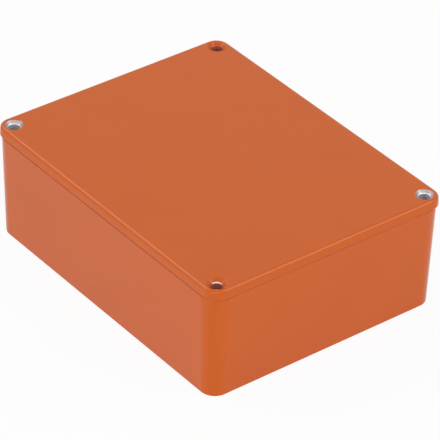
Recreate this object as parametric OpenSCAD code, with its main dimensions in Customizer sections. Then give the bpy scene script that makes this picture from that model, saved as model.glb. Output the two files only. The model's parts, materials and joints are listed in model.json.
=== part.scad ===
// Die cast box: a deep base and a flat lid that closes it.
// The base stands on z = 0 and is centred on the Z axis, with its long side along X.
// Both castings are drafted, so their faces lean, and the corner radii grow with the lean.

/* [Box] */
// Length over the lid, along X
box_l = 119.5; // [90:0.5:180]
// Width over the lid, along Y
box_w = 94; // [70:0.5:150]
// Height from the foot of the base to the top of the lid
box_h = 42; // [26:0.5:80]

/* [Base] */
// Thickness of the walls at the rim
wall_t = 2.2; // [1.6:0.1:3]
// Thickness of the floor
floor_t = 2.4; // [1.6:0.1:4]
// Outer corner radius at the rim
base_corner_r = 6.4; // [5.5:0.1:8]
// Lean of the outer walls, in degrees, which makes the foot smaller than the rim
base_draft = 1.6; // [0.5:0.1:3]
// Lean of the inner walls and of the screw pillars, in degrees
core_draft = 2; // [0.5:0.1:3]
// Rounding of the outer edge round the foot
foot_r = 0.4; // [0.2:0.1:2]
// Fillet between the inner walls and the floor
floor_fillet_r = 1.5; // [0.5:0.1:2.5]

/* [Lid] */
// Height of the lid's outer edge
lid_edge_h = 3.7; // [3.2:0.1:6]
// Thickness of the lid's plate inside its edge
lid_plate_t = 2.4; // [1.6:0.1:2.9]
// Outer corner radius of the lid at the joint with the base
lid_corner_r = 5; // [4.5:0.1:6.5]
// Lean of the lid's outer edge, in degrees
lid_draft = 3.5; // [0.5:0.1:5]
// Rounding between the lid's edge and its top
lid_top_r = 1.2; // [0.4:0.1:1.8]
// How far the lid stands out past the rim of the base
lid_overhang = 0.1; // [0.05:0.05:0.6]
// How far the locating lip reaches down into the base
lip_h = 1.8; // [1:0.1:3]
// Width of the locating lip
lip_t = 1.6; // [1:0.1:2.5]
// Clearance between the locating lip and the base
lip_gap = 0.3; // [0.1:0.05:0.6]
// Rounding of the outer edges of both castings where they meet
joint_r = 0.5; // [0.1:0.05:0.8]

/* [Screw holes] */
// Distance of each screw's axis from the two nearest sides of the lid
screw_inset = 4.8; // [4.4:0.1:6.5]
// Diameter of the clearance holes through the lid
clearance_d = 4; // [3:0.1:4.6]
// Diameter of the countersinks at the top of the lid
sink_d = 6.6; // [5.4:0.1:7.4]
// Included angle of the countersinks, in degrees
sink_angle = 90; // [80:1:100]
// Height of the small bevel round the edge of each countersink
sink_bevel = 0.1; // [0.05:0.05:0.3]
// Radius of the screw pillars in the base at the rim
pillar_r = 3.9; // [3.2:0.1:5.5]
// Diameter of the holes drilled for the thread in the pillars
tap_d = 2.9; // [2.4:0.1:3.4]
// Depth of the drilled holes below the rim
tap_depth = 18; // [8:0.5:20]
// Angle of the drill point at the bottom of each hole, in degrees
drill_point = 118; // [90:1:140]
// Bevel at the mouth of each hole in the pillars
mouth_bevel = 0.4; // [0.2:0.1:0.8]

/* [Hidden] */
$fn = 96;

paint = "#cc6836";
// How far a cutting tool runs past the face that it opens
over = 1;
// How far a leaning face is set in from its tangent, so that it meets the rounding cleanly
tangent_gap = 0.0002;

rim_z = box_h - lid_edge_h;
base_l = box_l - 2 * lid_overhang;
base_w = box_w - 2 * lid_overhang;

cavity_l = base_l - 2 * wall_t;
cavity_w = base_w - 2 * wall_t;
cavity_r = base_corner_r - wall_t;
cavity_h = rim_z - floor_t;
cavity_lean = cavity_h * tan(core_draft);
mouth_lean = over * tan(core_draft);
floor_corner_r = cavity_r - cavity_lean;

screw_x = box_l / 2 - screw_inset;
screw_y = box_w / 2 - screw_inset;

// The outer half of a disc, which rounds a corner of a section.
module half_disc(centre, r) {
    translate(centre) intersection() {
        circle(r);
        translate([0, -r]) square([r, 2 * r]);
    }
}

// Section through a wall that stands on y = 0, leans outwards by draft and is r from the
// axis where it is widest. low_r rounds its bottom edge and high_r its top edge.
module wall_section(r, h, draft, low_r, high_r) {
    outwards = [cos(draft), -sin(draft)];
    high_centre = [r - high_r, h - high_r];
    high_tangent = high_centre + max(high_r - tangent_gap, 0) * outwards;
    bottom_x = high_tangent.x - high_tangent.y * tan(draft);
    low_reach = low_r - tangent_gap;
    low_centre = [bottom_x - (low_reach - low_r * sin(draft)) / cos(draft), low_r];
    low_tangent = low_centre + low_reach * outwards;
    polygon([[0, 0], [low_centre.x, 0], low_tangent, high_tangent, [high_centre.x, h], [0, h]]);
    half_disc(low_centre, low_r);
    if (high_r > 0) half_disc(high_centre, high_r);
}

// The wall section swept round a rounded rectangle and filled. Its length l, its width w
// and its corner radius r are those where it is widest.
module drafted_block(l, w, r, h, draft, low_r, high_r = 0) {
    flat = [l - 2 * r, w - 2 * r];
    for (side = [0:3]) {
        reach = flat[side % 2] / 2;
        run = flat[(side + 1) % 2];
        rotate(90 * side) translate([reach, run / 2, 0]) {
            rotate_extrude(angle = 90) wall_section(r, h, draft, low_r, high_r);
            rotate([90, 0, 0])
                linear_extrude(run) wall_section(r, h, draft, low_r, high_r);
        }
    }
    translate([-flat[0] / 2, -flat[1] / 2, 0]) cube([flat[0], flat[1], h]);
}

// A rounded rectangle centred on the origin.
module rounded_rectangle(l, w, r) {
    square([l - 2 * r, w], center = true);
    square([l, w - 2 * r], center = true);
    for (x = [-1, 1], y = [-1, 1])
        translate([x * (l / 2 - r), y * (w / 2 - r)]) circle(r);
}

// Places its children on each screw's axis, turned so that +X and +Y point to the walls.
module at_screws() {
    for (x = [0, 1], y = [0, 1])
        mirror([x, 0, 0]) mirror([0, y, 0]) translate([screw_x, screw_y, 0]) children();
}

// Outline of a screw pillar: round towards the cavity, with a flat web to each wall.
module pillar_outline(r) {
    circle(r);
    translate([0, -r]) square([screw_inset, screw_inset + r]);
    translate([-r, 0]) square([screw_inset + r, screw_inset]);
}

// A web of the pillar: it runs along X to the wall, and its face leans with the pillar.
module pillar_web(low_r, high_r, h) {
    rotate([90, 0, 90]) linear_extrude(screw_inset)
        polygon([[-low_r, 0], [screw_inset, 0], [screw_inset, h], [-high_r, h]]);
}

// A screw pillar from inside the floor to past the rim, narrower towards the rim.
module pillar() {
    h = cavity_h + 2 * over;
    low_r = pillar_r + cavity_lean + mouth_lean;
    high_r = pillar_r - mouth_lean;
    translate([0, 0, floor_t - over]) {
        cylinder(h = h, r1 = low_r, r2 = high_r);
        pillar_web(low_r, high_r, h);
        mirror([1, -1, 0]) pillar_web(low_r, high_r, h);
    }
}

// The inside of the base, open past the rim.
module cavity() {
    difference() {
        translate([0, 0, floor_t]) drafted_block(
            cavity_l + 2 * mouth_lean, cavity_w + 2 * mouth_lean, cavity_r + mouth_lean,
            cavity_h + over, core_draft, min(floor_fillet_r, floor_corner_r * 0.9));
        at_screws() pillar();
    }
}

// A blind hole for the thread, with its drill point and bevelled mouth, open past the rim.
module tapping_hole() {
    r = tap_d / 2;
    point_h = r / tan(drill_point / 2);
    mouth_r = r + mouth_bevel;
    translate([0, 0, rim_z - tap_depth]) rotate_extrude() polygon([
        [0, -point_h],
        [r, 0],
        [r, tap_depth - mouth_bevel],
        [mouth_r, tap_depth],
        [mouth_r, tap_depth + over],
        [0, tap_depth + over]
    ]);
}

// A clearance hole with its countersink, open past both faces of the lid. The edge of the
// countersink is bevelled all round by sink_bevel.
module countersunk_hole() {
    r = clearance_d / 2;
    sink_r = sink_d / 2;
    slope = tan(sink_angle / 2);
    bevel_r = sink_r - sink_bevel * slope;
    rotate_extrude() polygon([
        [0, rim_z - over],
        [r, rim_z - over],
        [r, box_h - (sink_r - r) / slope],
        [bevel_r, box_h - sink_bevel],
        [sink_r + sink_bevel, box_h],
        [sink_r + sink_bevel, box_h + over],
        [0, box_h + over]
    ]);
}

// Outline inside the rim of the base, drawn in by a margin from its walls and pillars.
module inside_outline(margin) {
    difference() {
        rounded_rectangle(cavity_l - 2 * margin, cavity_w - 2 * margin, cavity_r - margin);
        at_screws() pillar_outline(pillar_r + margin);
    }
}

module base() {
    color(paint) difference() {
        drafted_block(base_l, base_w, base_corner_r, rim_z, base_draft, foot_r, joint_r);
        cavity();
        at_screws() tapping_hole();
    }
}

module lid() {
    plate_z = box_h - lid_plate_t;
    color(paint) difference() {
        union() {
            translate([0, 0, box_h]) mirror([0, 0, 1]) drafted_block(
                box_l, box_w, lid_corner_r, lid_edge_h, lid_draft, lid_top_r, joint_r);
            translate([0, 0, rim_z - lip_h])
                linear_extrude(plate_z - rim_z + lip_h) inside_outline(lip_gap);
        }
        translate([0, 0, rim_z - lip_h - over])
            linear_extrude(plate_z - rim_z + lip_h + over) inside_outline(lip_gap + lip_t);
        at_screws() countersunk_hole();
    }
}

base();
lid();
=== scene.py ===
"""An orange enamelled die cast box: the finish of its two castings and the table it stands on."""

import json
import math

import bmesh
import bpy
from bpy.props import FloatProperty, FloatVectorProperty, PointerProperty
from bpy.types import Operator, Panel, PropertyGroup
from mathutils import Matrix, Vector


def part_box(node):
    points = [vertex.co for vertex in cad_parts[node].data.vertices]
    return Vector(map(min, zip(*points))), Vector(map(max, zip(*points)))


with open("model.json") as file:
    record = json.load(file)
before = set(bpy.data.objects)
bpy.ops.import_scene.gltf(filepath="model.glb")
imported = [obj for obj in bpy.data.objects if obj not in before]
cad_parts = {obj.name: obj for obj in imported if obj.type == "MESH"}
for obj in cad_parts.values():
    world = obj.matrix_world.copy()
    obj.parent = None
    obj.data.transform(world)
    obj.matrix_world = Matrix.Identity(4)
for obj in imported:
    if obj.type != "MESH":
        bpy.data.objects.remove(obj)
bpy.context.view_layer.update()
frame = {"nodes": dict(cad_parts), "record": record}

bl_info = {
    "name": "Enamelled die cast box",
    "version": (1, 0, 0),
    "blender": (4, 5, 0),
    "location": "3D View > Sidebar > Die cast box",
    "description": "Finishes the castings of an enamelled box and sets them on a white table",
    "category": "Object",
}

MM = 0.001
# Distance between the bends in the cut edge of the enamel
WANDER_PITCH = 0.9 * MM
# Width of the cutter's streaks across the cut, and how many lie along each radian of it
STREAK_WIDTH = 0.35 * MM
STREAKS_PER_RADIAN = 1.3
# The mottle's noise levels between which the coat turns from thin to thick
THIN_COAT = 0.35
THICK_COAT = 0.75
# How far past the holes' own radius the bare metal and the thin coat are looked for
PILLAR_MARGIN = 0.5 * MM
BORE_MARGIN = 0.05 * MM
# Share of even glow in the paper where it is seen directly, while the lamps light the rest
PAPER_GLOW = 0.93
# The camera's sensor in millimetres, and how near and how far it sees in metres
SENSOR_WIDTH = 36
NEAREST = 0.05
FARTHEST = 100
MOUNTS = {mount["name"]: mount for mount in frame["record"]["mounts"]}
LID_HOLES = MOUNTS["lid_screw_holes"]["dims"]
PILLAR_HOLES = MOUNTS["pillar_holes"]["dims"]
LID_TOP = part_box("lid")[1].z
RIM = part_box("base")[1].z


def linear(hex_colour):
    """Turns an sRGB hex colour into linear red, green and blue."""
    channels = [int(hex_colour[i : i + 2], 16) / 255 for i in (1, 3, 5)]
    return [c / 12.92 if c <= 0.04045 else ((c + 0.055) / 1.055) ** 2.4 for c in channels]


def colour_property(name, hex_colour, description):
    return FloatVectorProperty(
        name=name,
        description=description,
        subtype="COLOR",
        size=3,
        min=0,
        max=1,
        default=linear(hex_colour),
    )


def length_property(name, millimetres, description):
    return FloatProperty(
        name=name,
        description=description,
        subtype="DISTANCE",
        unit="LENGTH",
        min=0,
        precision=5,
        default=millimetres * MM,
    )


class EnamelSettings(PropertyGroup):
    """The coat of orange stoving enamel on both castings."""

    colour: colour_property("Colour", "#d15d00", "Colour of the enamel under its gloss")
    deep_colour: colour_property("Deep colour", "#cf5b00", "Colour where the coat is thicker")
    roughness: FloatProperty(
        name="Roughness",
        description="Roughness of the coat's surface",
        min=0,
        max=1,
        default=0.19,
    )
    gloss: FloatProperty(
        name="Gloss",
        description="Strength of the coat's reflections, where 0.5 is that of clear lacquer",
        min=0,
        max=1,
        default=0.31,
    )
    peel_pitch: length_property("Peel pitch", 2.4, "Distance between the waves of the orange peel")
    peel_height: length_property("Peel height", 0.003, "Height of the waves of the orange peel")
    mottle_pitch: length_property("Mottle pitch", 28, "Distance between thicker parts of the coat")
    # Painted shade: the enamel is darkened in the joint between lid and base
    joint_shade_colour: colour_property("Joint colour", "#b84f06", "Colour deep in the joint of the lid")
    # How far the painted shade of the joint reaches above and below the rim
    joint_shade_reach: length_property("Joint reach", 0.55, "How far that colour reaches from the joint")
    thin_colour: colour_property("Thin colour", "#b46450", "Colour of the thin coat in the bores")


class MetalSettings(PropertyGroup):
    """The bare aluminium where the screw holes were cut through the enamel."""

    colour: colour_property("Colour", "#b5aba8", "Colour of the cut aluminium")
    dull_colour: colour_property("Dull colour", "#8c8280", "Colour of its darker streaks")
    # Painted highlight: the cut metal is coloured bright from the countersink's foot down
    highlight_colour: colour_property("Bright colour", "#dddbe0", "Colour where the drill rubbed")
    roughness: FloatProperty(
        name="Roughness",
        description="Roughness of the cut surface",
        min=0,
        max=1,
        default=0.45,
    )
    tool_pitch: length_property("Tool mark pitch", 0.22, "Distance between the cutter's rings")
    tool_depth: length_property("Tool mark depth", 0.004, "Depth of the cutter's rings")
    cone_radius: length_property("Cone radius", 3.12, "Radius of the cut round a bare countersink")
    cone_depth: length_property("Cone depth", 1.3, "Depth of the countersinks below the lid's top")
    # Height over which the painted highlight fades in above the countersink's foot
    highlight_width: length_property("Rub width", 0.4, "Height over which a cone's foot turns bright")
    ring_radius: length_property("Ring radius", 1.9, "Radius of the cut in the front hole")
    ring_slip: length_property("Ring slip", 0.42, "How far that cut lies towards the lid's middle")
    ring_depth: length_property("Ring depth", 1.5, "Depth below the lid to which that cut is bare")
    edge_wander: length_property("Edge wander", 0.16, "How far the enamel's cut edge wanders")


class StudioSettings(PropertyGroup):
    """The white table, its lamps and the camera."""

    table_gap: length_property("Table gap", 0.05, "How far the table top lies under the foot")
    table_size: length_property("Table size", 6000, "Side of the square table top")
    table_colour: colour_property("Table colour", "#f4f4f4", "Colour of the table top")
    ambient: FloatProperty(
        name="Ambient light",
        description="Level of the light that comes from all round",
        min=0,
        default=0.38,
    )
    left_level: FloatProperty(
        name="Left lamp",
        description="Brightness of the soft lamp behind the box on the left",
        min=0,
        default=2.4,
    )
    right_level: FloatProperty(
        name="Right lamp",
        description="Brightness of the soft lamp on the right",
        min=0,
        default=3.0,
    )
    front_level: FloatProperty(
        name="Front lamp",
        description="Brightness of the soft lamp low in front",
        min=0,
        default=1.71,
    )
    flash_level: FloatProperty(
        name="Flash",
        description="Brightness of the small lamp over the camera",
        min=0,
        default=62,
    )
    left_length: length_property("Left lamp length", 1500, "Long side of the left lamp")
    lamp_length: length_property("Lamp length", 1200, "Long side of the other soft lamps")
    lamp_width: length_property("Lamp width", 600, "Short side of the lamps to the left and right")
    flash_size: length_property("Flash size", 110, "Side of the square flash")
    lamp_distance: length_property("Lamp distance", 1500, "Distance from each lamp to the box")
    lens: FloatProperty(
        name="Lens",
        description="Focal length of the camera on a 36 mm sensor",
        subtype="DISTANCE_CAMERA",
        unit="CAMERA",
        min=1,
        default=274.9,
    )
    distance: length_property("Camera distance", 1119.1, "Distance from the camera to its aim")
    azimuth: FloatProperty(
        name="Azimuth",
        description="Turn of the camera about Z from the side of the box that faces -Y",
        subtype="ANGLE",
        unit="ROTATION",
        default=math.radians(51.434),
    )
    elevation: FloatProperty(
        name="Elevation",
        description="Height of the camera above the horizon",
        subtype="ANGLE",
        unit="ROTATION",
        default=math.radians(34.836),
    )
    roll: FloatProperty(
        name="Roll",
        description="Tilt of the camera about its own axis",
        subtype="ANGLE",
        unit="ROTATION",
        default=math.radians(1.774),
    )
    aim_right: length_property("Aim right", 2.13, "How far the aim lies right of the foot's centre")
    aim_up: length_property("Aim up", 14.44, "How far the aim lies above the foot's centre")


def add_node(tree, kind, settings=None, inputs=None):
    """Adds a node, sets its properties, and links or sets each of its named inputs."""
    node = tree.nodes.new(kind)
    for name, value in (settings or {}).items():
        setattr(node, name, value)
    for socket, value in (inputs or {}).items():
        if isinstance(value, bpy.types.NodeSocket):
            tree.links.new(value, node.inputs[socket])
        else:
            node.inputs[socket].default_value = value
    return node


def new_material(name):
    """Makes an empty material and returns it with its node tree."""
    material = bpy.data.materials.new(name)
    material.use_nodes = True
    material.node_tree.nodes.clear()
    return material, material.node_tree


def hole_offset(tree, point):
    """Returns a point's offset from the nearest screw's axis, with +X and +Y to the walls."""
    axis = (LID_HOLES["spacing_x_mm"] / 2 * MM, LID_HOLES["spacing_y_mm"] / 2 * MM, 0)
    folded = add_node(tree, "ShaderNodeVectorMath", {"operation": "ABSOLUTE"}, {0: point})
    offset = add_node(
        tree, "ShaderNodeVectorMath", {"operation": "SUBTRACT"}, {0: folded.outputs[0], 1: axis}
    )
    return add_node(
        tree,
        "ShaderNodeVectorMath",
        {"operation": "MULTIPLY"},
        {0: offset.outputs[0], 1: (1, 1, 0)},
    ).outputs[0]


def inside_cut(tree, point, offset, centre, radius):
    """Returns 1 within a radius of a cut's centre, with an edge that wanders a little."""
    metal = bpy.context.scene.box_metal
    wander = add_node(
        tree,
        "ShaderNodeTexNoise",
        inputs={"Vector": point, "Scale": 1 / WANDER_PITCH, "Detail": 2},
    )
    from_centre = add_node(
        tree, "ShaderNodeVectorMath", {"operation": "DISTANCE"}, {0: offset, 1: centre}
    )
    wandered = add_node(
        tree,
        "ShaderNodeMath",
        {"operation": "MULTIPLY_ADD"},
        {0: wander.outputs[0], 1: metal.edge_wander, 2: from_centre.outputs["Value"]},
    )
    return add_node(
        tree, "ShaderNodeMath", {"operation": "LESS_THAN"}, {0: wandered.outputs[0], 1: radius}
    ).outputs[0]


def bare_mask(tree, point, offset):
    """Returns 1 where the aluminium is bare: in the whole hole at the two corners where x and y
    have one sign, on an off-centre crescent in the hole at +x -y, and close round every screw's
    axis all the way from the rim down to the foot."""
    metal = bpy.context.scene.box_metal
    place = add_node(tree, "ShaderNodeSeparateXYZ", inputs={0: point})
    x, y, z = place.outputs
    slip = -metal.ring_slip * math.sqrt(0.5)
    one_sign = add_node(tree, "ShaderNodeMath", {"operation": "MULTIPLY"}, {0: x, 1: y})
    cuts = []
    for corner, centre, radius, depth in (
        (one_sign.outputs[0], (0, 0, 0), metal.cone_radius, LID_TOP - RIM),
        (x, (slip, slip, 0), metal.ring_radius, metal.ring_depth),
    ):
        here = add_node(tree, "ShaderNodeMath", {"operation": "GREATER_THAN"}, {0: corner, 1: 0})
        shallow = add_node(
            tree, "ShaderNodeMath", {"operation": "GREATER_THAN"}, {0: z, 1: LID_TOP - depth}
        )
        there = add_node(
            tree,
            "ShaderNodeMath",
            {"operation": "MULTIPLY"},
            {0: here.outputs[0], 1: shallow.outputs[0]},
        )
        cuts.append(
            add_node(
                tree,
                "ShaderNodeMath",
                {"operation": "MULTIPLY"},
                {0: there.outputs[0], 1: inside_cut(tree, point, offset, centre, radius)},
            ).outputs[0]
        )
    below = add_node(tree, "ShaderNodeMath", {"operation": "LESS_THAN"}, {0: z, 1: RIM})
    pillar_radius = PILLAR_HOLES["hole_r_mm"] * MM + PILLAR_MARGIN
    in_pillar = add_node(
        tree,
        "ShaderNodeMath",
        {"operation": "MULTIPLY"},
        {0: below.outputs[0], 1: inside_cut(tree, point, offset, (0, 0, 0), pillar_radius)},
    )
    in_lid = add_node(tree, "ShaderNodeMath", {"operation": "MAXIMUM"}, {0: cuts[0], 1: cuts[1]})
    return add_node(
        tree,
        "ShaderNodeMath",
        {"operation": "MAXIMUM"},
        {0: in_lid.outputs[0], 1: in_pillar.outputs[0]},
    ).outputs[0]


def enamel_colour(tree, point, radius):
    """Returns the enamel's colour: deeper where the coat ran thicker, darkened with painted shade
    in the joint, and greyer in the bores, where the coat is thin."""
    enamel = bpy.context.scene.box_enamel
    coat = add_node(
        tree,
        "ShaderNodeTexNoise",
        inputs={"Vector": point, "Scale": 1 / enamel.mottle_pitch, "Detail": 3, "Roughness": 0.55},
    )
    share = add_node(
        tree,
        "ShaderNodeMapRange",
        {"interpolation_type": "SMOOTHSTEP"},
        {"Value": coat.outputs[0], "From Min": THIN_COAT, "From Max": THICK_COAT},
    )
    film = add_node(
        tree,
        "ShaderNodeMix",
        {"data_type": "RGBA"},
        {0: share.outputs[0], 6: (*enamel.colour, 1), 7: (*enamel.deep_colour, 1)},
    )
    place = add_node(tree, "ShaderNodeSeparateXYZ", inputs={0: point})
    # Painted shade in the joint: the colour darkens towards the rim's height
    from_joint = add_node(
        tree, "ShaderNodeMath", {"operation": "SUBTRACT"}, {0: place.outputs[2], 1: RIM}
    )
    distance = add_node(
        tree, "ShaderNodeMath", {"operation": "ABSOLUTE"}, {0: from_joint.outputs[0]}
    )
    joint = add_node(
        tree,
        "ShaderNodeMapRange",
        {"interpolation_type": "SMOOTHSTEP"},
        {
            "Value": distance.outputs[0],
            "From Max": enamel.joint_shade_reach,
            "To Min": 1,
            "To Max": 0,
        },
    )
    outside = add_node(
        tree,
        "ShaderNodeMix",
        {"data_type": "RGBA"},
        {0: joint.outputs[0], 6: film.outputs[2], 7: (*enamel.joint_shade_colour, 1)},
    )
    bore_radius = LID_HOLES["hole_r_mm"] * MM + BORE_MARGIN
    in_bore = add_node(
        tree, "ShaderNodeMath", {"operation": "LESS_THAN"}, {0: radius, 1: bore_radius}
    )
    return add_node(
        tree,
        "ShaderNodeMix",
        {"data_type": "RGBA"},
        {0: in_bore.outputs[0], 6: outside.outputs[2], 7: (*enamel.thin_colour, 1)},
    ).outputs[2]


def metal_colour(tree, point, offset, radius):
    """Returns the cut aluminium's colour, streaked round the hole's axis by the cutter, with a
    painted highlight from the foot of the countersink down."""
    metal = bpy.context.scene.box_metal
    sides = add_node(tree, "ShaderNodeSeparateXYZ", inputs={0: offset})
    angle = add_node(
        tree, "ShaderNodeMath", {"operation": "ARCTAN2"}, {0: sides.outputs[1], 1: sides.outputs[0]}
    )
    around = add_node(tree, "ShaderNodeCombineXYZ", inputs={0: radius, 1: angle.outputs[0]})
    stretched = add_node(
        tree,
        "ShaderNodeMapping",
        inputs={"Vector": around.outputs[0], "Scale": (1 / STREAK_WIDTH, STREAKS_PER_RADIAN, 1)},
    )
    streaks = add_node(
        tree,
        "ShaderNodeTexNoise",
        inputs={"Vector": stretched.outputs[0], "Scale": 1, "Detail": 2},
    )
    cut = add_node(
        tree,
        "ShaderNodeMix",
        {"data_type": "RGBA"},
        {0: streaks.outputs[0], 6: (*metal.colour, 1), 7: (*metal.dull_colour, 1)},
    )
    place = add_node(tree, "ShaderNodeSeparateXYZ", inputs={0: point})
    foot = LID_TOP - metal.cone_depth
    # Painted highlight: the cut metal turns bright from the countersink's foot down into the bore
    low = add_node(
        tree,
        "ShaderNodeMapRange",
        {"interpolation_type": "SMOOTHSTEP"},
        {
            "Value": place.outputs[2],
            "From Min": foot,
            "From Max": foot + metal.highlight_width,
            "To Min": 1,
            "To Max": 0,
        },
    )
    return add_node(
        tree,
        "ShaderNodeMix",
        {"data_type": "RGBA"},
        {0: low.outputs[0], 6: cut.outputs[2], 7: (*metal.highlight_colour, 1)},
    ).outputs[2]


def orange_peel(tree, point):
    """Returns the surface's normal with the faint waves that sprayed enamel dries with."""
    enamel = bpy.context.scene.box_enamel
    waves = add_node(
        tree,
        "ShaderNodeTexNoise",
        inputs={"Vector": point, "Scale": 1 / enamel.peel_pitch, "Detail": 1},
    )
    return add_node(
        tree,
        "ShaderNodeBump",
        inputs={"Strength": 1, "Distance": enamel.peel_height, "Height": waves.outputs[0]},
    ).outputs[0]


def cut_rings(tree, radius, mask, normal):
    """Returns the normal with the cutter's fine rings, which show on bare metal only."""
    metal = bpy.context.scene.box_metal
    turns = add_node(
        tree,
        "ShaderNodeMath",
        {"operation": "MULTIPLY"},
        {0: radius, 1: 2 * math.pi / metal.tool_pitch},
    )
    rings = add_node(tree, "ShaderNodeMath", {"operation": "SINE"}, {0: turns.outputs[0]})
    return add_node(
        tree,
        "ShaderNodeBump",
        inputs={
            "Strength": mask,
            "Distance": metal.tool_depth,
            "Height": rings.outputs[0],
            "Normal": normal,
        },
    ).outputs[0]


def make_enamelled_casting():
    """Stoving enamel sprayed on a die casting: an even, semi-gloss orange film with a faint
    orange peel, cut through to bright aluminium where the screw holes were countersunk."""
    enamel = bpy.context.scene.box_enamel
    metal = bpy.context.scene.box_metal
    material, tree = new_material("orange_stoving_enamel")
    point = add_node(tree, "ShaderNodeTexCoord").outputs["Object"]
    offset = hole_offset(tree, point)
    radius = add_node(
        tree, "ShaderNodeVectorMath", {"operation": "LENGTH"}, {0: offset}
    ).outputs["Value"]
    mask = bare_mask(tree, point, offset)
    colour = add_node(
        tree,
        "ShaderNodeMix",
        {"data_type": "RGBA"},
        {
            0: mask,
            6: enamel_colour(tree, point, radius),
            7: metal_colour(tree, point, offset, radius),
        },
    )
    roughness = add_node(
        tree,
        "ShaderNodeMix",
        {"data_type": "FLOAT"},
        {0: mask, 2: enamel.roughness, 3: metal.roughness},
    )
    surface = add_node(
        tree,
        "ShaderNodeBsdfPrincipled",
        inputs={
            "Base Color": colour.outputs[2],
            "Metallic": mask,
            "Roughness": roughness.outputs[0],
            "Specular IOR Level": enamel.gloss,
            "Normal": cut_rings(tree, radius, mask, orange_peel(tree, point)),
        },
    )
    add_node(tree, "ShaderNodeOutputMaterial", inputs={"Surface": surface.outputs[0]})
    return material


def finish_casting(name):
    """Gives the casting of that name its enamel."""
    casting = frame["nodes"][name]
    material = bpy.data.materials.get("orange_stoving_enamel") or make_enamelled_casting()
    for slot in casting.material_slots:
        slot.material = material


def seen_directly(tree):
    """Returns 1 for rays that show the surroundings themselves: from the camera, and those
    mirrored or let through by a surface."""
    path = add_node(tree, "ShaderNodeLightPath")
    mirrored = add_node(
        tree,
        "ShaderNodeMath",
        {"operation": "MAXIMUM"},
        {0: path.outputs["Is Camera Ray"], 1: path.outputs["Is Glossy Ray"]},
    )
    return add_node(
        tree,
        "ShaderNodeMath",
        {"operation": "MAXIMUM"},
        {0: mirrored.outputs[0], 1: path.outputs["Is Transmission Ray"]},
    ).outputs[0]


def make_table_paper():
    """Seamless white background paper: matt and even, white to the eye but for a soft shadow."""
    studio = bpy.context.scene.box_studio
    material, tree = new_material("white_background_paper")
    paper = add_node(
        tree, "ShaderNodeBsdfDiffuse", inputs={"Color": (*studio.table_colour, 1), "Roughness": 0}
    )
    glow = add_node(tree, "ShaderNodeEmission", inputs={"Color": (1, 1, 1, 1), "Strength": 1})
    share = add_node(
        tree,
        "ShaderNodeMath",
        {"operation": "MULTIPLY"},
        {0: seen_directly(tree), 1: PAPER_GLOW},
    )
    mixed = add_node(
        tree,
        "ShaderNodeMixShader",
        inputs={0: share.outputs[0], 1: paper.outputs[0], 2: glow.outputs[0]},
    )
    add_node(tree, "ShaderNodeOutputMaterial", inputs={"Surface": mixed.outputs[0]})
    return material


def make_table():
    """Lays the white table top under the box."""
    studio = bpy.context.scene.box_studio
    mesh = bpy.data.meshes.new("table_top")
    shape = bmesh.new()
    bmesh.ops.create_grid(shape, x_segments=1, y_segments=1, size=studio.table_size / 2)
    shape.to_mesh(mesh)
    shape.free()
    mesh.materials.append(make_table_paper())
    table = bpy.data.objects.new("table_top", mesh)
    table.location.z = -studio.table_gap
    bpy.context.scene.collection.objects.link(table)


def make_surroundings():
    """Sets an even white surround that lights the box at a plain level."""
    studio = bpy.context.scene.box_studio
    world = bpy.data.worlds.new("white_surround")
    world.use_nodes = True
    tree = world.node_tree
    tree.nodes.clear()
    level = add_node(
        tree,
        "ShaderNodeMix",
        {"data_type": "FLOAT"},
        {0: seen_directly(tree), 2: studio.ambient, 3: 1.0},
    )
    light = add_node(
        tree,
        "ShaderNodeBackground",
        inputs={"Color": (1, 1, 1, 1), "Strength": level.outputs[0]},
    )
    add_node(tree, "ShaderNodeOutputWorld", inputs={"Surface": light.outputs[0]})
    bpy.context.scene.world = world


def add_lamp(name, azimuth, elevation, width, height, brightness):
    """Adds a soft lamp that points at the box, at those angles from the camera's side."""
    studio = bpy.context.scene.box_studio
    turn = Matrix.Rotation(studio.azimuth + azimuth, 4, "Z")
    tilt = Matrix.Rotation(math.pi / 2 - elevation, 4, "X")
    push = Matrix.Translation((0, 0, studio.lamp_distance))
    data = bpy.data.lights.new(name, "AREA")
    data.shape = "RECTANGLE"
    data.size = width
    data.size_y = height
    data.energy = brightness * math.pi * width * height
    lamp = bpy.data.objects.new(name, data)
    lamp.matrix_world = turn @ tilt @ push
    lamp.visible_camera = False
    bpy.context.scene.collection.objects.link(lamp)


def add_camera():
    """Adds the camera, aimed a little beside the foot's centre."""
    studio = bpy.context.scene.box_studio
    turned = (
        Matrix.Rotation(studio.azimuth, 4, "Z")
        @ Matrix.Rotation(math.pi / 2 - studio.elevation, 4, "X")
        @ Matrix.Rotation(studio.roll, 4, "Z")
    )
    data = bpy.data.cameras.new("studio_camera")
    data.lens = studio.lens
    data.sensor_width = SENSOR_WIDTH
    data.clip_start = NEAREST
    data.clip_end = FARTHEST
    camera = bpy.data.objects.new("studio_camera", data)
    place = Vector((studio.aim_right, studio.aim_up, studio.distance))
    camera.matrix_world = turned @ Matrix.Translation(place)
    bpy.context.scene.collection.objects.link(camera)
    bpy.context.scene.camera = camera


class BOX_OT_finish_base(Operator):
    """Enamels the base casting"""

    bl_idname = "box.finish_base"
    bl_label = "Finish the base"

    def execute(self, context):
        finish_casting("base")
        return {"FINISHED"}


class BOX_OT_finish_lid(Operator):
    """Enamels the lid casting and bares its cut screw holes"""

    bl_idname = "box.finish_lid"
    bl_label = "Finish the lid"

    def execute(self, context):
        finish_casting("lid")
        return {"FINISHED"}


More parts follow.
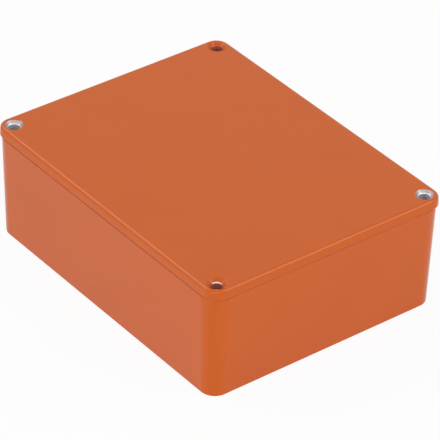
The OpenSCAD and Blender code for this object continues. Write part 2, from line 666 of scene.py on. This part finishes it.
class BOX_OT_set_stage(Operator):
    """Sets the white table, the soft lamps, the surround and the camera"""

    bl_idname = "box.set_stage"
    bl_label = "Set the stage"

    def execute(self, context):
        studio = context.scene.box_studio
        context.scene.view_settings.view_transform = "Standard"
        make_table()
        make_surroundings()
        long, short, small = studio.lamp_length, studio.lamp_width, studio.flash_size
        for name, azimuth, elevation, width, height, level in (
            ("left_lamp", -120, 46, studio.left_length, short, studio.left_level),
            ("right_lamp", 78, 40, short, long, studio.right_level),
            ("front_lamp", -24, 15, long, long, studio.front_level),
            ("flash", 6, 42, small, small, studio.flash_level),
        ):
            turned = math.radians(azimuth), math.radians(elevation)
            add_lamp(name, *turned, width, height, level)
        add_camera()
        return {"FINISHED"}


class BOX_PT_die_cast_box(Panel):
    """Lists the finishes, the stage and their settings"""

    bl_idname = "BOX_PT_die_cast_box"
    bl_label = "Die cast box"
    bl_space_type = "VIEW_3D"
    bl_region_type = "UI"
    bl_category = "Die cast box"

    def draw(self, context):
        scene = context.scene
        sections = (
            (scene.box_enamel, ("box.finish_base", "box.finish_lid")),
            (scene.box_metal, ()),
            (scene.box_studio, ("box.set_stage",)),
        )
        for settings, operators in sections:
            column = self.layout.box().column()
            for name in settings.__annotations__:
                column.prop(settings, name)
            for operator in operators:
                column.operator(operator)


CLASSES = (
    EnamelSettings,
    MetalSettings,
    StudioSettings,
    BOX_OT_finish_base,
    BOX_OT_finish_lid,
    BOX_OT_set_stage,
    BOX_PT_die_cast_box,
)


def register():
    for each in CLASSES:
        bpy.utils.register_class(each)
    bpy.types.Scene.box_enamel = PointerProperty(type=EnamelSettings)
    bpy.types.Scene.box_metal = PointerProperty(type=MetalSettings)
    bpy.types.Scene.box_studio = PointerProperty(type=StudioSettings)


def unregister():
    del bpy.types.Scene.box_studio
    del bpy.types.Scene.box_metal
    del bpy.types.Scene.box_enamel
    for each in reversed(CLASSES):
        bpy.utils.unregister_class(each)


def main():
    register()
    bpy.ops.box.finish_base()
    bpy.ops.box.finish_lid()
    bpy.ops.box.set_stage()


if __name__ == "__main__":
    main()
